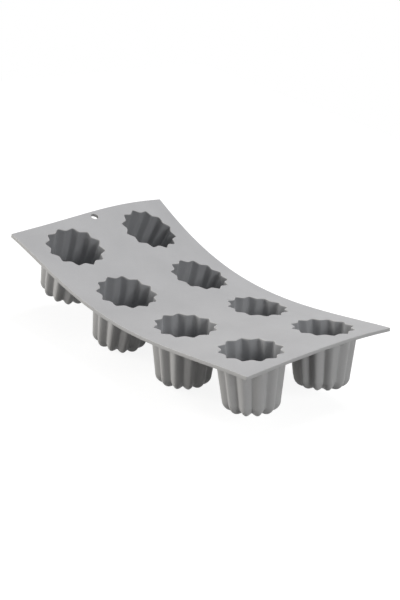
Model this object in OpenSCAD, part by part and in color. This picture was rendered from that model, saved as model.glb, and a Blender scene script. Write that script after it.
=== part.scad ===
// Flexible baking mould: fluted cups hang in rows under one thin rubber sheet.
// Millimetres, +Z up. +X runs away from the end with the hanging hole, +Y to the back.
// The origin is on the ground, under the middle of the bent mould.
// The sheet is laid out flat first: u runs along it from the end with the hanging hole,
// v runs across it from its front edge. Slopes along both long edges then bend it.

/* [Cups] */
// Radius of a cup's mouth, measured at the tips of its flutes
mouth_r = 27.5; // [23:0.5:32]
// How far a rounded rib between two flutes stands into the cavity
rib_depth = 4; // [2.5:0.25:5]
// Rounding of a rib's crest, as a share of half a flute
rib_crest = 0.3; // [0.1:0.05:0.8]
// Depth of a cavity below the top of the sheet
cup_depth = 49; // [38:1:60]
// Radius that a cavity loses for each millimetre of depth under the sheet
wall_taper = 0.12; // [0.04:0.01:0.14]
// Rounding between the wall and the floor of a cavity
floor_r = 8; // [6:0.5:13]
// Thickness of a cup's wall
wall_t = 1.7; // [1.2:0.1:3]
// Thickness of a cup's floor
floor_t = 2.2; // [1.5:0.1:4]
// Depth of the grooves between the lobes outside a cup
groove_depth = 4; // [2.5:0.25:5]
// Rounding of a lobe's crest between two grooves, as a share of half a flute
lobe_crest = 0.4; // [0.1:0.05:0.8]
// Share of the depth of ribs and grooves that is left at the rim of a cup's base
groove_end = 0.6; // [0.2:0.05:0.8]
// Share of the base's radius that stays plain in its middle
base_plain = 0.6; // [0.3:0.05:0.8]

/* [Sheet] */
// Thickness of the sheet
sheet_t = 3.2; // [2:0.1:5]
// Sheet between the lobes of two neighbouring rows
row_land = 16.6; // [12:0.2:30]
// Sheet between the lobes of the two cups in a row
column_land = 29.6; // [16:0.2:50]
// Sheet outside the lobes at both ends
end_land = 8.3; // [6:0.1:20]
// Sheet outside the lobes along both long sides
side_land = 14.8; // [8:0.1:30]
// Radius of the sheet's corners
corner_r = 1; // [0.5:0.5:6]
// Diameter of the hanging hole
hole_d = 7; // [4:0.5:9]
// Sheet between the hanging hole and the end of the sheet
hole_edge = 3.5; // [2:0.5:6]
// Sheet that stays stiff beside a row of cups, before the flexible web
web_side = 2.3; // [1:0.1:4]

/* [Bend of the front edge] */
// Slope in degrees at the end without the hole, positive when it rises to the other end
front_start_angle = 0; // [-10:0.5:20]
// Slope in degrees a quarter of the way along
front_quarter_angle = -2; // [-10:0.5:30]
// Slope in degrees halfway along
front_half_angle = 6.8; // [-10:0.1:40]
// Slope in degrees three quarters of the way along
front_late_angle = 18.8; // [-10:0.1:50]
// Slope in degrees at the end with the hole
front_end_angle = 16.9; // [-10:0.1:50]

/* [Bend of the back edge] */
// Slope in degrees at the end without the hole, positive when it rises to the other end
back_start_angle = -4.1; // [-10:0.1:20]
// Slope in degrees a quarter of the way along
back_quarter_angle = -3.3; // [-10:0.1:30]
// Slope in degrees halfway along
back_half_angle = 6.6; // [-10:0.1:40]
// Slope in degrees three quarters of the way along
back_late_angle = 21.6; // [-10:0.1:50]
// Slope in degrees at the end with the hole
back_end_angle = 32.2; // [-10:0.1:50]

/* [Bow across the sheet] */
// Rise of the middle over the long edges, at the end without the hole
bow_start = 3; // [0:0.1:8]
// Rise of the middle over the long edges, halfway along
bow_half = 3.6; // [0:0.1:8]
// Rise of the middle over the long edges, at the end with the hole
bow_end = 4.7; // [0:0.1:8]
// Sideways lean of that bow towards the front, at the end without the hole
lean_start = -0.3; // [-3:0.1:3]
// Sideways lean of that bow towards the front, halfway along
lean_half = 0; // [-3:0.1:3]
// Sideways lean of that bow towards the front, at the end with the hole
lean_end = -1.7; // [-3:0.1:3]

/* [Swing of the cups] */
// Swing in degrees of a cup's base towards the end without the hole, at that end
swing_start_angle = 2; // [-5:0.1:5]
// Swing in degrees of a cup's base towards the end without the hole, halfway along
swing_half_angle = 0.4; // [-5:0.1:5]
// Swing in degrees of a cup's base towards the end without the hole, at the end with the hole
swing_end_angle = 4; // [-5:0.1:5]

/* [Stand] */
// Turn about Y that brings the bent mould to rest on its cups, in degrees
stand_pitch = -6.7; // [-10:0.05:10]
// Turn about X that brings the bent mould to rest on its cups, in degrees
stand_roll = 1.4; // [-5:0.05:5]

/* [Hidden] */

rows = 4;
columns = 2;
flutes = 12;
half_flute = 180 / flutes;

// Gap kept between a cup's rim and the underside of the sheet
seat_gap = 0.1;
// Gap kept between a web and the strips of sheet beside it
seam_gap = 0.1;

lobe_r = mouth_r + wall_t;
row_pitch = 2 * lobe_r + row_land;
column_pitch = 2 * lobe_r + column_land;
sheet_l = (rows - 1) * row_pitch + 2 * (lobe_r + end_land);
sheet_w = (columns - 1) * column_pitch + 2 * (lobe_r + side_land);
web_w = row_land - 2 * web_side;
hole_r = hole_d / 2;

// Divisions of the shapes that follow the bent sheet
around = 6 * flutes;
across = 16;
along_row = 6;
along_web = 4;
along_edge = 60;
round_angles = [0, 30, 60, 90];
// Angle of a cup's rounding from which its ribs and grooves fade out
fade_angle = 45;

sheet_grey = [0.70, 0.70, 0.71];
cup_grey = [0.62, 0.62, 0.62];

// Places in the flat sheet
function row_u(row) = end_land + lobe_r + (row - 1) * row_pitch;
function column_v(column) = side_land + lobe_r + column * column_pitch;
function web_u(row) = row_u(row) + row_pitch / 2;

// Slope along an edge: the smooth curve through its five stations, s from 0 to 1
function station(i) = i / 4;
function weight(i, s, j = 0) = j > 4 ? 1
  : (j == i ? 1 : (s - station(j)) / (station(i) - station(j))) * weight(i, s, j + 1);
function slope(s, y) = y * [for (i = [0:4]) weight(i, s)];

// Value at s of the curve through three stations
function bend3(s, y) =
  y[0] * (1 - s) * (1 - 2 * s) + y[1] * 4 * s * (1 - s) + y[2] * s * (2 * s - 1);

front_slopes = [
  front_start_angle, front_quarter_angle, front_half_angle, front_late_angle, front_end_angle
];
back_slopes = [
  back_start_angle, back_quarter_angle, back_half_angle, back_late_angle, back_end_angle
];
bows = [bow_start, bow_half, bow_end];
leans = [lean_start, lean_half, lean_end];
swings = [swing_start_angle, swing_half_angle, swing_end_angle];

// Reach and rise of an edge, summed in short steps from the end without the hole
edge_step = sheet_l / along_edge;
function edge_slopes(y) = [for (i = [0:along_edge]) [i / along_edge, slope(i / along_edge, y)]];
function edge_reach(y) = [
  for (i = 0, x = 0; i <= along_edge;
    x = x + edge_step * cos(slope((i + 0.5) / along_edge, y)), i = i + 1)
    [i / along_edge, x]
];
function edge_rise(y) = [
  for (i = 0, z = 0; i <= along_edge;
    z = z + edge_step * sin(slope((i + 0.5) / along_edge, y)), i = i + 1)
    [i / along_edge, z]
];
front_turn = edge_slopes(front_slopes);
front_reach = edge_reach(front_slopes);
front_rise = edge_rise(front_slopes);
back_turn = edge_slopes(back_slopes);
back_reach = edge_reach(back_slopes);
back_rise = edge_rise(back_slopes);

function mix(a, b, t) = a + (b - a) * t;
function unit(p) = p / norm(p);

// Point of the bent sheet at a depth below its top face
function sheet_point(u, v, depth) =
  let (
    s = (sheet_l - u) / sheet_l,
    t = v / sheet_w,
    angle = mix(lookup(s, front_turn), lookup(s, back_turn), t),
    reach = mix(lookup(s, front_reach), lookup(s, back_reach), t),
    rise = mix(lookup(s, front_rise), lookup(s, back_rise), t),
    bow = bend3(s, bows) * 4 * t * (1 - t) + bend3(s, leans) * sin(360 * t),
    lift = bow - depth
  )
  [-reach + sin(angle) * lift, v - sheet_w / 2, rise + cos(angle) * lift];

// Local frame of the top face: its point, its direction along u, across, and its normal
frame_step = 12;
function sheet_frame(u, v) =
  let (
    a = sheet_point(u + frame_step, v, 0) - sheet_point(u - frame_step, v, 0),
    b = sheet_point(u, v + frame_step, 0) - sheet_point(u, v - frame_step, 0),
    n = unit(cross(a, b)),
    x = unit(a)
  )
  [sheet_point(u, v, 0), x, cross(n, x), n];
function in_frame(f, p) = f[0] + f[1] * p.x + f[2] * p.y + f[3] * p.z;

// Frame of a cup: the sheet's frame with the upright direction sheared by the cup's swing
function cup_frame(u, v) =
  let (f = sheet_frame(u, v), swing = bend3((sheet_l - u) / sheet_l, swings))
  [f[0], f[1], f[2], f[3] - f[1] * tan(swing)];

module on_sheet(u, v) {
  f = sheet_frame(u, v);
  multmatrix([
    [f[1].x, f[2].x, f[3].x, f[0].x],
    [f[1].y, f[2].y, f[3].y, f[0].y],
    [f[1].z, f[2].z, f[3].z, f[0].z]
  ])
    children();
}

// Straight flank that runs from a rounded crest at x = 0 to a sharp crease at x = 1
function flank(x, crest) = (sqrt(x ^ 2 + crest ^ 2) - crest) / (sqrt(1 + crest ^ 2) - crest);
function from_tip(a) = abs((a + half_flute) % (2 * half_flute) - half_flute) / half_flute;
// Section of a cavity: 0 at the tip of a flute, 1 on the crest of a rib
function rib_share(a) = 1 - flank(1 - from_tip(a), rib_crest);
// Section outside a cup: 0 on the crest of a lobe, 1 in a groove
function groove_share(a) = flank(from_tip(a), lobe_crest);

function angle_at(i) = 360 * i / around;

// Radius of the tips or lobes at a depth below the top of the sheet
function wall_radius(top_r, depth) = top_r - wall_taper * (depth - sheet_t);

// One ring of a wall: r and depth on the tips or lobes, tilt of the wall there,
// and how deep its ribs or grooves are, at right angles to the wall
function wall_ring(f, r, depth, tilt, cut, shares) = [
  for (i = [0:around - 1])
    let (a = angle_at(i), q = r - cut * shares[i] * cos(tilt), d = depth - cut * shares[i] * sin(tilt))
    in_frame(f, [q * cos(a), q * sin(a), -d])
];

// Rings of a wall from the plain middle of its base up to the start of its rounding
function wall_rings(f, top_r, base, r_round, cut, shares) =
  let (
    start = base - r_round,
    centre_r = wall_radius(top_r, start) - r_round
  )
  concat(
    [wall_ring(f, centre_r * base_plain, base, 90, 0, shares)],
    [
      for (i = [len(round_angles) - 1:-1:0])
        let (a = round_angles[i])
        wall_ring(
          f, centre_r + r_round * cos(a), start + r_round * sin(a), a,
          cut * mix(1, groove_end, max(0, (a - fade_angle) / (90 - fade_angle))), shares
        )
    ]
  );

// Rim of a wall, which follows the underside of the sheet
function rim_ring(u, v, r, cut, shares) = [
  for (i = [0:around - 1])
    let (a = angle_at(i), q = r - cut * shares[i])
    sheet_point(u + q * cos(a), v + q * sin(a), sheet_t + seat_gap)
];

rib_shares = [for (i = [0:around - 1]) rib_share(angle_at(i))];
groove_shares = [for (i = [0:around - 1]) groove_share(angle_at(i))];

function reversed(list) = [for (i = [len(list) - 1:-1:0]) list[i]];
function flat(lists) = [for (list = lists) each list];

// Rings of a cup in order: base, outer wall, rim, inner wall, floor
function cup_rings(u, v) =
  let (f = cup_frame(u, v))
  concat(
    wall_rings(f, lobe_r, cup_depth + floor_t, floor_r + floor_t, groove_depth, groove_shares),
    [rim_ring(u, v, lobe_r, groove_depth, groove_shares)],
    [rim_ring(u, v, mouth_r, rib_depth, rib_shares)],
    reversed(wall_rings(f, mouth_r, cup_depth, floor_r, rib_depth, rib_shares))
  );

// Base point of a cup, in the middle of its underside
function cup_base(u, v) = in_frame(cup_frame(u, v), [0, 0, -cup_depth - floor_t]);

module cup_solid(u, v) {
  rings = cup_rings(u, v);
  last = len(rings) - 1;
  floor_point = in_frame(cup_frame(u, v), [0, 0, -cup_depth]);
  points = concat(flat(rings), [cup_base(u, v), floor_point]);
  base_i = len(points) - 2;
  floor_i = len(points) - 1;
  walls = [
    for (k = [0:last - 1], i = [0:around - 1])
      let (
        j = (i + 1) % around,
        a = k * around + i,
        b = k * around + j,
        c = a + around,
        d = b + around
      )
      each [[c, d, b], [c, b, a]]
  ];
  base = [for (i = [0:around - 1]) [base_i, i, (i + 1) % around]];
  floor = [
    for (i = [0:around - 1]) [floor_i, last * around + (i + 1) % around, last * around + i]
  ];
  polyhedron(points = points, faces = concat(walls, base, floor), convexity = 8);
}

// How far the rounded corners draw the long edges in, at u
function corner_inset(u) =
  let (x = corner_r - min(u, sheet_l - u, corner_r))
  corner_r - sqrt(corner_r ^ 2 - x ^ 2);

// Slab of the bent sheet between the first and the last of the stations along u
module sheet_slab(stations) {
  n = len(stations) - 1;
  row_n = across + 1;
  lower = (n + 1) * row_n;
  points = [
    for (depth = [0, sheet_t], u = stations, j = [0:across])
      sheet_point(u, mix(corner_inset(u), sheet_w - corner_inset(u), j / across), depth)
  ];
  tops = [
    for (i = [0:n - 1], j = [0:across - 1])
      let (a = i * row_n + j, b = a + row_n)
      each [[a, a + 1, b + 1], [a, b + 1, b]]
  ];
  bottoms = [for (t = tops) [t[0] + lower, t[2] + lower, t[1] + lower]];
  edge = concat(
    [for (i = [0:n]) i * row_n],
    [for (j = [1:across]) n * row_n + j],
    [for (i = [n - 1:-1:0]) i * row_n + across],
    [for (j = [across - 1:-1:1]) j]
  );
  sides = [
    for (i = [0:len(edge) - 1])
      let (a = edge[i], b = edge[(i + 1) % len(edge)])
      each [[a, b, b + lower], [a, b + lower, a + lower]]
  ];
  polyhedron(points = points, faces = concat(tops, bottoms, sides), convexity = 4);
}

function spread(from, to, n) = [for (i = [0:n]) mix(from, to, i / n)];
function corner_stations() = [for (a = round_angles) corner_r * (1 - cos(a))];

// Stations of a row's strip: from the web before it, or the sheet's end, to the next
function strip_stations(row) =
  let (
    from = row == 1 ? corner_r : web_u(row - 1) + web_w / 2,
    to = row == rows ? sheet_l - corner_r : web_u(row) - web_w / 2,
    inner = spread(from, to, along_row),
    start = row == 1 ? [for (i = [0:len(round_angles) - 2]) corner_stations()[i]] : [],
    end = row == rows
      ? [for (i = [len(round_angles) - 2:-1:0]) sheet_l - corner_stations()[i]]
      : []
  )
  concat(start, inner, end);

// Outline of a cup's mouth
module mouth_outline() {
  polygon([
    for (i = [0:around - 1])
      let (a = angle_at(i), r = mouth_r - rib_depth * rib_shares[i])
      [r * cos(a), r * sin(a)]
  ]);
}

// Turn of the whole mould into its stand, and its place over the origin
function stand_turn(p) =
  let (
    q = [p.x, p.y * cos(stand_roll) - p.z * sin(stand_roll), p.y * sin(stand_roll) + p.z * cos(stand_roll)]
  )
  [q.x * cos(stand_pitch) + q.z * sin(stand_pitch), q.y, -q.x * sin(stand_pitch) + q.z * cos(stand_pitch)];
rim_points = [
  for (u = spread(0, sheet_l, along_edge), v = spread(0, sheet_w, across), depth = [0, sheet_t])
    stand_turn(sheet_point(u, mix(corner_inset(u), sheet_w - corner_inset(u), v / sheet_w), depth))
];
base_points = [
  for (row = [1:rows], column = [0:columns - 1])
    for (ring = wall_rings(
      cup_frame(row_u(row), column_v(column)), lobe_r, cup_depth + floor_t,
      floor_r + floor_t, groove_depth, groove_shares
    ))
      for (p = ring) stand_turn(p)
];
xs = [for (p = rim_points) p.x];
ys = [for (p = rim_points) p.y];
stand_at = [
  (min(xs) + max(xs)) / 2,
  (min(ys) + max(ys)) / 2,
  min([for (p = base_points) p.z])
];

module standing() {
  translate(-stand_at) rotate([stand_roll, stand_pitch, 0]) children();
}

module sheet_row(row) {
  color(sheet_grey) standing() difference() {
    sheet_slab(strip_stations(row));
    for (column = [0:columns - 1])
      on_sheet(row_u(row), column_v(column))
        linear_extrude(height = 4 * sheet_t, center = true) mouth_outline();
    if (row == 1)
      on_sheet(hole_edge + hole_r, sheet_w / 2)
        cylinder(h = 4 * sheet_t, r = hole_r, center = true, $fn = 48);
  }
}

module web(row) {
  reach = web_w / 2 - seam_gap;
  color(sheet_grey) standing()
    sheet_slab(spread(web_u(row) - reach, web_u(row) + reach, along_web));
}

module cup(row, column) {
  color(cup_grey) standing() cup_solid(row_u(row), column_v(column));
}

module sheet_row_1() { sheet_row(1); }
module sheet_row_2() { sheet_row(2); }
module sheet_row_3() { sheet_row(3); }
module sheet_row_4() { sheet_row(4); }
module web_1_2() { web(1); }
module web_2_3() { web(2); }
module web_3_4() { web(3); }
module cup_front_1() { cup(1, 0); }
module cup_front_2() { cup(2, 0); }
module cup_front_3() { cup(3, 0); }
module cup_front_4() { cup(4, 0); }
module cup_back_1() { cup(1, 1); }
module cup_back_2() { cup(2, 1); }
module cup_back_3() { cup(3, 1); }
module cup_back_4() { cup(4, 1); }

sheet_row_1();
sheet_row_2();
sheet_row_3();
sheet_row_4();
web_1_2();
web_2_3();
web_3_4();
cup_front_1();
cup_front_2();
cup_front_3();
cup_front_4();
cup_back_1();
cup_back_2();
cup_back_3();
cup_back_4();
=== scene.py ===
"""Looks of the flexible fluted baking mould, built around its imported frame.

Lengths in the first part are millimetres of the flat sheet, as in the part's source:
u runs along the sheet from the end with the hanging hole, v across it from the front edge.
sheet_point() bends them into the frame, in metres.
"""

import math

import bpy
import numpy as np
from mathutils import Matrix, Vector
from mathutils.geometry import delaunay_2d_cdt


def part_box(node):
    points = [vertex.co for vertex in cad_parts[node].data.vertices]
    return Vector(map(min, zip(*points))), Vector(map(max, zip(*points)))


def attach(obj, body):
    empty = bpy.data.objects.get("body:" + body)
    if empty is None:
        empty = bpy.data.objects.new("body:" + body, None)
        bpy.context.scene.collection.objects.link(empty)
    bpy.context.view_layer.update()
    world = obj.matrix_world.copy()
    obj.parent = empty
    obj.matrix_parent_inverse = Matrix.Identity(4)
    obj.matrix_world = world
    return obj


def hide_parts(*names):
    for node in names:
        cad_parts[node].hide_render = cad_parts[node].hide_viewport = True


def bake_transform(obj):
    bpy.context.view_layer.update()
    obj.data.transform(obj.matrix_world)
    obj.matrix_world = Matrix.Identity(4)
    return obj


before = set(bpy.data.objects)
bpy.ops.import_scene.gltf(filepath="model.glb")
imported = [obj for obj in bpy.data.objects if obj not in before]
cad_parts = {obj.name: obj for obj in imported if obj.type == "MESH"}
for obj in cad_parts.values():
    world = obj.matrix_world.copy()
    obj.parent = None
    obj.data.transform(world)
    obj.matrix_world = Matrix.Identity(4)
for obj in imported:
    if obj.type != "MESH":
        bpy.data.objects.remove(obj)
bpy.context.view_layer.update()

MM = 0.001

# Cups
MOUTH_R = 27.5
RIB_DEPTH = 4.0
CUP_DEPTH = 49.0
WALL_TAPER = 0.12
FLOOR_R = 8.0
WALL_T = 1.7
FLOOR_T = 2.2
GROOVE_DEPTH = 4.0
RIB_CREST = 0.3
LOBE_CREST = 0.4
GROOVE_END = 0.6
FADE_ANGLE = math.pi / 4
BASE_PLAIN = 0.6
LOBE_R = MOUTH_R + WALL_T

# Sheet
SHEET_T = 3.2
ROW_LAND = 16.6
COLUMN_LAND = 29.6
END_LAND = 8.3
SIDE_LAND = 14.8
CORNER_R = 1.0
HOLE_R = 3.5
HOLE_EDGE = 3.5
WEB_SIDE = 2.3
ROW_PITCH = 2 * LOBE_R + ROW_LAND
COLUMN_PITCH = 2 * LOBE_R + COLUMN_LAND
ROWS = 4
SIDES = ("front", "back")
SHEET_L = (ROWS - 1) * ROW_PITCH + 2 * (LOBE_R + END_LAND)
SHEET_W = COLUMN_PITCH + 2 * (LOBE_R + SIDE_LAND)
WEB_W = ROW_LAND - 2 * WEB_SIDE
HANGING = (HOLE_EDGE + HOLE_R, SHEET_W / 2)

# Bend, as in the source: slopes of the long edges in degrees, bow and lean across the sheet in
# millimetres, the cups' swing in degrees, and how the bent sheet is turned to stand on its cups
FRONT_SLOPES = (0.0, -2.0, 6.8, 18.8, 16.9)
BACK_SLOPES = (-4.1, -3.3, 6.6, 21.6, 32.2)
BOWS = (3.0, 3.6, 4.7)
LEANS = (-0.3, 0.0, -1.7)
SWINGS = (2.0, 0.4, 4.0)
STAND_PITCH = math.radians(-6.7)
STAND_ROLL = math.radians(1.4)

# Small roundings that the solids leave out: the sheet's edges and hole, the mouths' lips, and
# the fillets where the cups leave the sheet
EDGE_ROUND = 0.5
MOUTH_ROUND = 1.0
ROOT_ROUND = 1.3

# Fineness of the meshes: steps round a cup, along and across the sheet, and in roundings
FLUTES = 12
AROUND = 16 * FLUTES
ACROSS = 80
ALONG = 24
WEB_STEPS = 16
BASE_STEPS = 10
ROOT_STEPS = 5
EDGE_STEPS = 4
CORNER_STEPS = 6
HOLE_STEPS = 48
CREASE_REACH = 1
WALL_SHARES = (0.15, 0.35, 0.6, 0.85)
FLOOR_SHARES = (0.2, 0.4, 0.6, 0.8, 1.0)
SHARP_ANGLE = math.radians(50)
EDGE_SUMS = 1200
STAND_PROBES = (61, 17)

# Points inside a strip's faces: a collar of rings round each opening, and a grid that stays
# clear of the collars and of the edges. A ring is a share of its collar's width, and the loop's
# points that it keeps: one in so many.
MOUTH_COLLAR = 5.0
MOUTH_RINGS = ((0.2, 1), (0.45, 2), (0.7, 3), (1.0, 4))
HOLE_COLLAR = 1.4
HOLE_SKIP = 2
GRID_STEP = 3.0
GRID_INSET = 1.2
GRID_CLEAR = 1.5

angles = np.arange(AROUND) * 2 * math.pi / AROUND


def slope(s, stations):
    """Slope in radians at s, on the smooth curve through five even stations."""
    last = len(stations) - 1
    total = np.zeros_like(np.asarray(s, float))
    for i, value in enumerate(stations):
        weight = 1.0
        for j in range(last + 1):
            if j != i:
                weight = weight * (s * last - j) / (i - j)
        total = total + value * weight
    return np.radians(total)


def bend3(s, y):
    """Value at s on the curve through three even stations."""
    return y[0] * (1 - s) * (1 - 2 * s) + y[1] * 4 * s * (1 - s) + y[2] * s * (2 * s - 1)


def edge_tables(stations):
    """Reach and rise along a long edge, summed from the end without the hole."""
    middle = (np.arange(EDGE_SUMS) + 0.5) / EDGE_SUMS
    step = SHEET_L / EDGE_SUMS
    turned = slope(middle, stations)
    reach = np.concatenate([[0], np.cumsum(np.cos(turned)) * step])
    rise = np.concatenate([[0], np.cumsum(np.sin(turned)) * step])
    return reach, rise


edge_s = np.linspace(0, 1, EDGE_SUMS + 1)
front_reach, front_rise = edge_tables(FRONT_SLOPES)
back_reach, back_rise = edge_tables(BACK_SLOPES)


def bent(u, v, depth):
    """Points of the bent sheet before it is stood on its cups, in millimetres."""
    u, v, depth = np.broadcast_arrays(*(np.asarray(a, float) for a in (u, v, depth)))
    s = (SHEET_L - u) / SHEET_L
    t = v / SHEET_W
    angle = slope(s, FRONT_SLOPES) * (1 - t) + slope(s, BACK_SLOPES) * t
    reach = np.interp(s, edge_s, front_reach) * (1 - t) + np.interp(s, edge_s, back_reach) * t
    rise = np.interp(s, edge_s, front_rise) * (1 - t) + np.interp(s, edge_s, back_rise) * t
    bow = bend3(s, BOWS) * 4 * t * (1 - t) + bend3(s, LEANS) * np.sin(2 * math.pi * t)
    lift = bow - depth
    x = np.sin(angle) * lift - reach
    z = rise + np.cos(angle) * lift
    return np.stack([x, v - SHEET_W / 2, z], -1)


turn = np.array(Matrix.Rotation(STAND_PITCH, 3, "Y") @ Matrix.Rotation(STAND_ROLL, 3, "X"))


def stand_shift():
    """Shift that brings the turned sheet onto the frame's own sheet."""
    count_u, count_v = STAND_PROBES
    u, v = np.meshgrid(np.linspace(0, SHEET_L, count_u), np.linspace(0, SHEET_W, count_v))
    sheet = np.concatenate([bent(u.ravel(), v.ravel(), depth) for depth in (0, SHEET_T)])
    mine = sheet @ turn.T * MM
    boxes = [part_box(f"sheet_row_{row}") for row in range(1, ROWS + 1)]
    low = np.min([b[0] for b in boxes], axis=0)
    high = np.max([b[1] for b in boxes], axis=0)
    return (low + high) / 2 - (mine.min(0) + mine.max(0)) / 2


shift = stand_shift()


def sheet_point(u, v, depth):
    """Points of the bent sheet at a depth below its top face, in the frame."""
    return bent(u, v, depth) @ turn.T * MM + shift


class SheetFrame:
    """Place, two directions and normal of the sheet's top face at u, v."""

    STEP = 12.0

    def __init__(self, u, v):
        along = sheet_point(u + self.STEP, v, 0) - sheet_point(u - self.STEP, v, 0)
        over = sheet_point(u, v + self.STEP, 0) - sheet_point(u, v - self.STEP, 0)
        normal = np.cross(along, over)
        self.place = sheet_point(u, v, 0)
        self.normal = normal / np.linalg.norm(normal)
        self.x = along / np.linalg.norm(along)
        self.y = np.cross(self.normal, self.x)

        swing = math.radians(bend3((SHEET_L - u) / SHEET_L, SWINGS))
        self.upright = self.normal - self.x * math.tan(swing)

    def point(self, a, b, depth):
        """Points at a along u, b across and a depth down a cup's swung axis, in the frame."""
        a, b, depth = np.broadcast_arrays(a, b, depth)
        local = np.stack([a, b, -depth], -1) * MM
        return self.place + local @ np.stack([self.x, self.y, self.upright])


def softened(values, reach):
    """Values round a circle, averaged over a few neighbours so that creases round off."""
    weights = np.array([reach + 1 - abs(i) for i in range(-reach, reach + 1)], float)
    weights /= weights.sum()
    return sum(w * np.roll(values, i - reach) for i, w in enumerate(weights))


def flank(x, crest):
    """Straight flank from a rounded crest at x = 0 to a sharp crease at x = 1."""
    return (np.sqrt(x**2 + crest**2) - crest) / (math.sqrt(1 + crest**2) - crest)


def flute_shares():
    """How deep the ribs inside and the grooves outside stand at each angle, 0 to 1."""
    half = math.pi / FLUTES
    from_tip = np.abs((angles + half) % (2 * half) - half) / half
    return 1 - flank(1 - from_tip, RIB_CREST), flank(from_tip, LOBE_CREST)


ribs, grooves = (softened(shares, CREASE_REACH) for shares in flute_shares())
mouth = MOUTH_R - RIB_DEPTH * ribs
lobes = LOBE_R - GROOVE_DEPTH * grooves


def row_u(row):
    """Place of a row's middle along the sheet."""
    return END_LAND + LOBE_R + (row - 1) * ROW_PITCH


def column_v(column):
    """Place of a column's middle across the sheet."""
    return SIDE_LAND + LOBE_R + column * COLUMN_PITCH


def mix(a, b, t):
    """Value at a share t of the way from a to b."""
    return a + (b - a) * t


def quarter(n):
    """Angles of a quarter round, from 0 to 90 degrees."""
    return np.linspace(0, math.pi / 2, n + 1)


def make_object(name, points, faces, materials, wears):
    """Mesh object with smooth faces, crisp at real edges; wears is each face's material number."""
    mesh = bpy.data.meshes.new(name)
    mesh.from_pydata([tuple(p) for p in points], [], faces)
    mesh.validate()
    mesh.polygons.foreach_set("use_smooth", [True] * len(mesh.polygons))
    mesh.set_sharp_from_angle(angle=SHARP_ANGLE)
    for material in materials:
        mesh.materials.append(material)
    mesh.polygons.foreach_set("material_index", wears)
    mesh.update()
    piece = bpy.data.objects.new(name, mesh)
    bpy.context.scene.collection.objects.link(piece)
    return piece


def wall_below(frame_at, top_r, base, round_r, cut, shares):
    """Rings of a wall from the start of its rounding to the plain middle of its base."""
    start = base - round_r
    centre = top_r - WALL_TAPER * (start - SHEET_T) - round_r

    def ring(r, depth):
        return frame_at.point(r * np.cos(angles), r * np.sin(angles), depth)

    rings = []
    for a in quarter(BASE_STEPS):
        depth_share = mix(1, GROOVE_END, max(0, (a - FADE_ANGLE) / (math.pi / 2 - FADE_ANGLE)))
        inward = cut * depth_share * shares
        r = centre + round_r * math.cos(a) - inward * math.cos(a)
        depth = start + round_r * math.sin(a) - inward * math.sin(a)
        rings.append(ring(r, depth))
    for t in FLOOR_SHARES:
        fade = GROOVE_END * (1 - t * t * (3 - 2 * t))
        rings.append(ring(mix(centre, centre * BASE_PLAIN, t), base - cut * fade * shares))
    return rings


def cup_mesh(row, column):
    """Points and faces of one closed cup, and for each face 1 if it lies inside the cavity."""
    u, v = row_u(row), column_v(column)
    here = SheetFrame(u, v)

    def on_sheet(r, depth):
        """Ring round the cup, bent with the sheet."""
        return sheet_point(u + r * np.cos(angles), v + r * np.sin(angles), depth)

    outer = wall_below(here, LOBE_R, CUP_DEPTH + FLOOR_T, FLOOR_R + FLOOR_T, GROOVE_DEPTH, grooves)
    inner = wall_below(here, MOUTH_R, CUP_DEPTH, FLOOR_R, RIB_DEPTH, ribs)
    root = [
        on_sheet(lobes + ROOT_ROUND * (1 - math.sin(b)), SHEET_T + ROOT_ROUND * (1 - math.cos(b)))
        for b in quarter(ROOT_STEPS)
    ]
    lip = [
        on_sheet(mouth + MOUTH_ROUND * (1 - math.sin(b)), MOUTH_ROUND * (1 - math.cos(b)))
        for b in quarter(EDGE_STEPS)
    ]
    through = on_sheet(mouth, SHEET_T)
    rings = outer[::-1]
    rings += [mix(outer[0], root[-1], t) for t in WALL_SHARES]
    rings += root[::-1]
    rings += [on_sheet(mouth + MOUTH_ROUND, SHEET_T)]
    rings += lip
    cavity_from = len(rings) - 2
    rings += [through]
    rings += [mix(through, inner[0], t) for t in WALL_SHARES]
    rings += inner
    base_point = here.point(0.0, 0.0, CUP_DEPTH + FLOOR_T)
    floor_point = here.point(0.0, 0.0, CUP_DEPTH)
    points = np.concatenate(rings + [base_point[None], floor_point[None]])
    last = len(rings) - 1
    faces, in_cavity = [], []
    for i in range(AROUND):
        j = (i + 1) % AROUND
        for k in range(last):
            a, b = k * AROUND, (k + 1) * AROUND
            faces.append((a + i, a + j, b + j, b + i))
            in_cavity.append(int(k >= cavity_from))
        faces.append((len(points) - 2, j, i))
        faces.append((len(points) - 1, last * AROUND + i, last * AROUND + j))
        in_cavity += [0, 1]
    return points, faces, in_cavity


def line(a, b, n):
    """n points from a up to but not including b."""
    return [tuple(mix(np.array(a), np.array(b), i / n)) for i in range(n)]


def corner(cu, cv, first, inset):
    """Rounded corner of the sheet, a quarter turn from the first angle in degrees."""
    r = CORNER_R - inset
    turns = [math.radians(first + 90 * i / CORNER_STEPS) for i in range(CORNER_STEPS + 1)]
    return [(cu + r * math.cos(a), cv + r * math.sin(a)) for a in turns]


def strip_span(row):
    """First and last u of a row's strip."""
    start = 0.0 if row == 1 else row_u(row) - ROW_PITCH / 2 + WEB_W / 2
    end = SHEET_L if row == ROWS else row_u(row) + ROW_PITCH / 2 - WEB_W / 2
    return start, end


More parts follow.
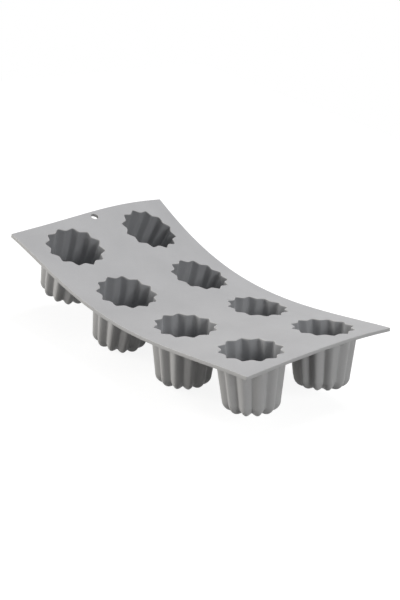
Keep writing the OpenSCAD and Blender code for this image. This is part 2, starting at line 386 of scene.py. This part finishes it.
def strip_outline(row, inset):
    """Outline of a strip in u, v, drawn in from the sheet's free edges by the inset."""
    start, end = strip_span(row)
    free_start, free_end = row == 1, row == ROWS
    low, high = inset, SHEET_W - inset
    near_start = start + CORNER_R if free_start else start
    near_end = end - CORNER_R if free_end else end
    points = []
    if free_start:
        points += corner(start + CORNER_R, CORNER_R, 180, inset)[:-1]
    points += line((near_start, low), (near_end, low), ALONG)
    if free_end:
        points += corner(end - CORNER_R, CORNER_R, 270, inset)[:-1]
        points += line((end - inset, CORNER_R), (end - inset, SHEET_W - CORNER_R), ACROSS)
        points += corner(end - CORNER_R, SHEET_W - CORNER_R, 0, inset)[:-1]
    else:
        points += line((end, low), (end, high), ACROSS)
    points += line((near_end, high), (near_start, high), ALONG)
    if free_start:
        points += corner(start + CORNER_R, SHEET_W - CORNER_R, 90, inset)[:-1]
        points += line((start + inset, SHEET_W - CORNER_R), (start + inset, CORNER_R), ACROSS)
    else:
        points += line((start, high), (start, low), ACROSS)
    return points


def mouth_loop(row, column, r):
    """Loop round a cup's mouth in u, v."""
    u, v = row_u(row), column_v(column)
    return list(zip(u + r * np.cos(angles), v + r * np.sin(angles)))


def hole_loop(r):
    """Loop round the hanging hole in u, v."""
    turns = np.arange(HOLE_STEPS) * 2 * math.pi / HOLE_STEPS
    return list(zip(HANGING[0] + r * np.cos(turns), HANGING[1] + r * np.sin(turns)))


def edge_levels():
    """Insets and depths down the sheet's rounded edge, from its top face to its underside."""
    upper = [
        (EDGE_ROUND * (1 - math.sin(a)), EDGE_ROUND * (1 - math.cos(a)))
        for a in quarter(EDGE_STEPS)
    ]
    lower = [(inset, SHEET_T - depth) for inset, depth in upper[::-1]]
    return upper + lower


def face_points(row, outline, holes):
    """Points that fill a strip's face: rings round each mouth, then a plain grid."""
    start, end = strip_span(row)
    mouths = [(row_u(row), column_v(column)) for column in range(len(SIDES))]
    mouth_r = MOUTH_R + MOUTH_COLLAR
    hole_r = HOLE_R + HOLE_COLLAR
    filling = []
    for column in range(len(SIDES)):
        for t, skip in MOUTH_RINGS:
            filling += mouth_loop(row, column, mix(mouth + MOUTH_ROUND, mouth_r, t))[::skip]
    if row == 1:
        filling += hole_loop(hole_r)[::HOLE_SKIP]
    keep_off = np.array(outline + filling + [p for hole in holes for p in hole])
    grid_u = np.arange(start + GRID_STEP / 2, end, GRID_STEP)
    grid_v = np.arange(GRID_STEP / 2, SHEET_W, GRID_STEP)
    for i, a in enumerate(grid_u):
        along_clear = start + GRID_INSET < a < end - GRID_INSET
        for b in grid_v + (GRID_STEP / 2 if i % 2 else 0):
            inside = along_clear and GRID_INSET < b < SHEET_W - GRID_INSET
            clear = np.min(np.hypot(keep_off[:, 0] - a, keep_off[:, 1] - b)) > GRID_CLEAR
            off_mouth = all(math.hypot(a - u, b - v) > mouth_r for u, v in mouths)
            off_hole = row > 1 or math.hypot(a - HANGING[0], b - HANGING[1]) > hole_r
            if inside and clear and off_mouth and off_hole:
                filling.append((a, b))
    return filling


def in_loop(p, loop):
    """Whether p lies inside a loop of points."""
    a, b = loop, np.roll(loop, -1, axis=0)
    crosses = (a[:, 1] > p[1]) != (b[:, 1] > p[1])
    span = np.where(crosses, b[:, 1] - a[:, 1], 1.0)
    at = a[:, 0] + (p[1] - a[:, 1]) * (b[:, 0] - a[:, 0]) / span
    return bool(np.sum(crosses & (p[0] < at)) % 2)


def fill_face(outline, holes, filling):
    """Triangles between an outline and its holes: corner numbers of outline, holes, filling."""
    corners, edges, hole_of = [], [], {}
    for k, loop in enumerate([outline] + holes):
        first = len(corners)
        corners += loop
        edges += [(first + i, first + (i + 1) % len(loop)) for i in range(len(loop))]
        if k:
            hole_of.update({first + i: k - 1 for i in range(len(loop))})
    corners += filling
    inside_only, merge_within = 1, 1e-5
    found = delaunay_2d_cdt([Vector(p) for p in corners], edges, [], inside_only, merge_within)
    _, _, filled, origins, _, _ = found
    triangles = [[origins[i][0] for i in t] for t in filled]
    shapes = [np.array(hole) for hole in holes]

    def cut_out(t):
        """Whether a triangle lies in a hole, whose corners are then all its own."""
        owners = {hole_of.get(i, -1) for i in t}
        if len(owners) > 1 or -1 in owners:
            return False
        return in_loop(np.mean([corners[i] for i in t], axis=0), shapes[owners.pop()])

    return [t for t in triangles if not cut_out(t)]


def strip_mesh(row):
    """Points and faces of one row's strip, and for each face 0 on the top or 1 elsewhere."""
    levels = edge_levels()
    outlines = [strip_outline(row, inset) for inset, _ in levels]
    holes = [mouth_loop(row, c, mouth + MOUTH_ROUND) for c in range(len(SIDES))]
    if row == 1:
        holes.append(hole_loop(HOLE_R + levels[0][0]))
    filling = face_points(row, outlines[0], holes)
    triangles = fill_face(outlines[0], holes, filling)
    flat = outlines[0] + [p for hole in holes for p in hole] + filling
    n = len(flat)
    flat = np.array(flat)
    points = [sheet_point(flat[:, 0], flat[:, 1], 0), sheet_point(flat[:, 0], flat[:, 1], SHEET_T)]
    faces = [tuple(t) for t in triangles]
    faces += [tuple(n + i for i in t[::-1]) for t in triangles]
    count = 2 * n

    def add_ring(loop, depth):
        """Corner numbers of a new loop of points at a depth."""
        nonlocal count
        loop = np.array(loop)
        points.append(sheet_point(loop[:, 0], loop[:, 1], depth))
        count += len(loop)
        return list(range(count - len(loop), count))

    def join(upper, lower, outward):
        """Faces between two loops, seen from outside the upper loop or from within it."""
        for i in range(len(upper)):
            j = (i + 1) % len(upper)
            face = (upper[i], lower[i], lower[j], upper[j])
            faces.append(face if outward else face[::-1])

    size = len(outlines[0])
    rings = [list(range(size))]
    rings += [add_ring(outlines[k], levels[k][1]) for k in range(1, len(levels) - 1)]
    rings += [list(range(n, n + size))]
    for upper, lower in zip(rings, rings[1:]):
        join(upper, lower, True)
    first = size
    for k, hole in enumerate(holes):
        top = list(range(first, first + len(hole)))
        bottom = [n + i for i in top]
        rings = [top]
        if k == len(SIDES):
            rings += [add_ring(hole_loop(HOLE_R + inset), depth) for inset, depth in levels[1:-1]]
        rings += [bottom]
        for upper, lower in zip(rings, rings[1:]):
            join(upper, lower, False)
        first += len(hole)
    off_top = [0] * len(triangles) + [1] * (len(faces) - len(triangles))
    return np.concatenate(points), faces, off_top


def web_mesh(row):
    """Points and faces of the web after a row, and for each face 0 on the top or 1 elsewhere."""
    levels = edge_levels()
    start = row_u(row) + ROW_PITCH / 2 - WEB_W / 2
    v = np.linspace(EDGE_ROUND, SHEET_W - EDGE_ROUND, ACROSS + 1)
    loop = [(x, 0.0) for x in v]
    loop += [(SHEET_W - inset, depth) for inset, depth in levels[1:-1]]
    loop += [(x, SHEET_T) for x in v[::-1]]
    loop += [(inset, depth) for inset, depth in levels[1:-1][::-1]]
    loop = np.array(loop)
    size = len(loop)
    stations = [start + WEB_W * i / WEB_STEPS for i in range(WEB_STEPS + 1)]
    points = np.concatenate([sheet_point(u, loop[:, 0], loop[:, 1]) for u in stations])
    faces, off_top = [], []
    for k in range(WEB_STEPS):
        for i in range(size):
            j = (i + 1) % size
            a, b = k * size, (k + 1) * size
            faces.append((a + i, b + i, b + j, a + j))
            off_top.append(int(i >= ACROSS))
    sides = len(levels) - 2
    for base, forward in ((0, True), (WEB_STEPS * size, False)):
        quads = []
        for i in range(ACROSS):
            under = 2 * ACROSS + 1 + sides - i
            quads.append((i, i + 1, under - 1, under))
        back = list(range(ACROSS, ACROSS + sides + 2))
        front = list(range(2 * ACROSS + sides + 1, size)) + [0]
        for q in quads + [tuple(back), tuple(front)]:
            q = tuple(base + i for i in q)
            faces.append(q if forward else q[::-1])
            off_top.append(1)
    return points, faces, off_top


# Materials

SILICONE_IOR = 1.41
SPECULAR = 0.42
SHEEN = 0.06
SHEEN_ROUGHNESS = 0.5
ROUGHNESS = 0.5
ROUGHNESS_SWING = 0.06


def node(tree, kind, **settings):
    """New node with its inputs, or else its own settings, set by name."""
    made = tree.nodes.new(kind)
    for key, value in settings.items():
        if key in made.inputs:
            made.inputs[key].default_value = value
        else:
            setattr(made, key, value)
    return made


def silicone(name, colour, darker):
    """Matte silicone: faint cloudy tone, fine grain and a soft satin surface."""
    material = bpy.data.materials.new(name)
    material.use_nodes = True
    tree = material.node_tree
    link = tree.links.new
    shader = tree.nodes["Principled BSDF"]
    shader.inputs["IOR"].default_value = SILICONE_IOR
    shader.inputs["Specular IOR Level"].default_value = SPECULAR
    shader.inputs["Sheen Weight"].default_value = SHEEN
    shader.inputs["Sheen Roughness"].default_value = SHEEN_ROUGHNESS
    place = node(tree, "ShaderNodeTexCoord").outputs["Object"]

    def noise(scale, detail):
        made = node(tree, "ShaderNodeTexNoise", Scale=scale, Detail=detail)
        link(place, made.inputs["Vector"])
        return made.outputs["Fac"]

    def ranged(value, taken, given):
        """A value with its range from taken's two ends moved to given's."""
        made = node(tree, "ShaderNodeMapRange")
        for end, level in zip(("From Min", "From Max", "To Min", "To Max"), taken + given):
            made.inputs[end].default_value = level
        link(value, made.inputs["Value"])
        return made.outputs["Result"]

    cloud = ranged(noise(scale=22, detail=3), (0.3, 0.7), (0.0, 1.0))
    speck = ranged(noise(scale=900, detail=2), (0.35, 0.65), (0.965, 1.0))
    tone = node(tree, "ShaderNodeMix", data_type="RGBA")
    tone.inputs["A"].default_value = (*darker, 1)
    tone.inputs["B"].default_value = (*colour, 1)
    link(cloud, tone.inputs["Factor"])
    dusted = node(tree, "ShaderNodeVectorMath", operation="SCALE")
    link(tone.outputs["Result"], dusted.inputs[0])
    link(speck, dusted.inputs["Scale"])
    link(dusted.outputs["Vector"], shader.inputs["Base Color"])
    roughness = (ROUGHNESS - ROUGHNESS_SWING, ROUGHNESS + ROUGHNESS_SWING)
    rough = ranged(noise(scale=160, detail=4), (0.0, 1.0), roughness)
    link(rough, shader.inputs["Roughness"])
    grain = node(tree, "ShaderNodeBump", Strength=0.25, Distance=0.00006)
    link(noise(scale=2600, detail=3), grain.inputs["Height"])
    ripple = node(tree, "ShaderNodeBump", Strength=0.3, Distance=0.00025)
    link(noise(scale=70, detail=2), ripple.inputs["Height"])
    link(grain.outputs["Normal"], ripple.inputs["Normal"])
    link(ripple.outputs["Normal"], shader.inputs["Normal"])
    return material


sheet_silicone = silicone("sheet_silicone", (0.463, 0.463, 0.473), (0.416, 0.416, 0.426))
# The cups' outer silicone, lighter than the sheet's top; on the sheet's edges and underside it is
# painted light
cup_silicone = silicone("cup_silicone", (0.49, 0.49, 0.49), (0.465, 0.465, 0.465))
# Darker, cooler copy of the same silicone for the cups' insides: painted shade in the cavities
cavity_painted_shade = silicone("cavity_painted_shade", (0.345, 0.35, 0.362), (0.32, 0.325, 0.337))


# Pieces


def make_strip(row):
    """A row's strip: its top in the sheet's silicone, its edges and underside in the cups' lighter
    one, which paints light onto the edges.
    """
    points, faces, off_top = strip_mesh(row)
    # Edges and underside in the lighter silicone: painted light on the strip's edges
    piece = make_object(f"strip_{row}", points, faces, [sheet_silicone, cup_silicone], off_top)
    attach(piece, f"row_{row}")
    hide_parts(f"sheet_row_{row}")


def make_web(row):
    """The web after a row, a fixed mesh between its two rows."""
    points, faces, off_top = web_mesh(row)
    name = f"bend_{row}_{row + 1}"
    # Edges and underside in the lighter silicone: painted light on the web's edges
    piece = make_object(name, points, faces, [sheet_silicone, cup_silicone], off_top)
    size = len(points) // (WEB_STEPS + 1)
    first, last = points[:size], points[-size:]
    direction = last.mean(0) - first.mean(0)
    direction /= np.linalg.norm(direction)
    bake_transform(piece)
    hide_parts(f"web_{row}_{row + 1}")


def make_cup(row, column):
    """A cup, with its cavity in a darker, cooler copy of the silicone: painted shade inside the
    cup.
    """
    points, faces, in_cavity = cup_mesh(row, column)
    name = f"fluted_cup_{SIDES[column]}_{row}"
    # Faces inside the cavity take the darker copy of the silicone, which paints shade into it
    piece = make_object(name, points, faces, [cup_silicone, cavity_painted_shade], in_cavity)
    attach(piece, f"row_{row}")
    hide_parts(f"cup_{SIDES[column]}_{row}")


for row in range(1, ROWS + 1):
    make_strip(row)
    if row < ROWS:
        make_web(row)
    for column in range(len(SIDES)):
        make_cup(row, column)


# Floor, light and camera

FLOOR_HALF = 0.8
FLOOR_DROP = 0.0001
FLOOR_SHOWN = 0.9
FLOOR_HIDDEN = 0.25
FLOOR_GLOW = 1.27
GLOW_SHARE = 0.7
WORLD_LIGHT = 0.12
LIGHTS_AIM = Vector((0, 0, 0.04))
WARM = (1.0, 0.975, 0.935)


def grey(level):
    """Grey colour of a level."""
    return (level, level, level, 1)


def show(tree, shown, hidden, out):
    """What the camera and glossy rays see as shown, and all other rays as hidden."""
    link = tree.links.new
    ray = node(tree, "ShaderNodeLightPath")
    seen = node(tree, "ShaderNodeMath", operation="MAXIMUM")
    pick = node(tree, "ShaderNodeMixShader")
    link(ray.outputs["Is Camera Ray"], seen.inputs[0])
    link(ray.outputs["Is Glossy Ray"], seen.inputs[1])
    link(seen.outputs[0], pick.inputs[0])
    link(hidden.outputs[0], pick.inputs[1])
    link(shown.outputs[0], pick.inputs[2])
    link(pick.outputs[0], out.inputs["Surface"])


def make_floor():
    """White floor just under the mould, which throws back less light than it shows."""
    mesh = bpy.data.meshes.new("floor")
    h = FLOOR_HALF
    mesh.from_pydata([(-h, -h, 0), (h, -h, 0), (h, h, 0), (-h, h, 0)], [], [(0, 1, 2, 3)])
    floor = bpy.data.objects.new("floor", mesh)
    floor.location.z = -FLOOR_DROP
    bpy.context.scene.collection.objects.link(floor)
    material = bpy.data.materials.new("floor")
    material.use_nodes = True
    tree = material.node_tree
    tree.nodes.clear()
    pale = node(tree, "ShaderNodeBsdfDiffuse", Color=grey(FLOOR_SHOWN))
    plain = node(tree, "ShaderNodeBsdfDiffuse", Color=grey(FLOOR_HIDDEN))
    white = node(tree, "ShaderNodeEmission", Color=grey(1), Strength=FLOOR_GLOW)
    lifted = node(tree, "ShaderNodeMixShader", Fac=GLOW_SHARE)
    tree.links.new(pale.outputs[0], lifted.inputs[1])
    tree.links.new(white.outputs[0], lifted.inputs[2])
    show(tree, lifted, plain, node(tree, "ShaderNodeOutputMaterial"))
    mesh.materials.append(material)


def make_world():
    """White surroundings that give little light of their own."""
    world = bpy.data.worlds.new("studio")
    bpy.context.scene.world = world
    world.use_nodes = True
    tree = world.node_tree
    tree.nodes.clear()
    soft = node(tree, "ShaderNodeBackground", Color=grey(1), Strength=WORLD_LIGHT)
    white = node(tree, "ShaderNodeBackground", Color=grey(1), Strength=1.0)
    show(tree, white, soft, node(tree, "ShaderNodeOutputWorld"))


def make_light(name, place, size, power, colour=(1, 1, 1)):
    """Round soft light that looks at the middle of the mould."""
    light = bpy.data.lights.new(name, "AREA")
    light.shape = "DISK"
    light.size = size
    light.energy = power
    light.color = colour
    lamp = bpy.data.objects.new(name, light)
    lamp.location = place
    lamp.rotation_euler = (LIGHTS_AIM - Vector(place)).to_track_quat("-Z", "Y").to_euler()
    bpy.context.scene.collection.objects.link(lamp)


def make_camera():
    """The photograph's view, worked out from the mouths' tips, the corners and the hole."""
    place = Vector((0.7349, -0.7949, 0.5054))
    aim = Vector((0.0026, 0.0063, 0.0521))
    roll = math.radians(9.006)
    data = bpy.data.cameras.new("camera")
    data.sensor_width = 36.0
    data.lens = 80.726
    camera = bpy.data.objects.new("camera", data)
    look = (aim - place).to_track_quat("-Z", "Y").to_matrix() @ Matrix.Rotation(roll, 3, "Z")
    camera.matrix_world = Matrix.Translation(place) @ look.to_4x4()
    bpy.context.scene.collection.objects.link(camera)
    bpy.context.scene.camera = camera


make_floor()
make_world()
make_light("top", (-0.098, 0.598, 1.801), size=1.0, power=22)
make_light("right", (1.676, -0.066, 0.892), size=0.9, power=12.5)
make_light("left", (-1.374, -1.27, 0.33), size=0.8, power=19, colour=WARM)
make_light("front_left", (-0.555, -1.787, 0.33), size=0.8, power=8, colour=WARM)
make_camera()
bpy.context.scene.view_settings.view_transform = "Standard"
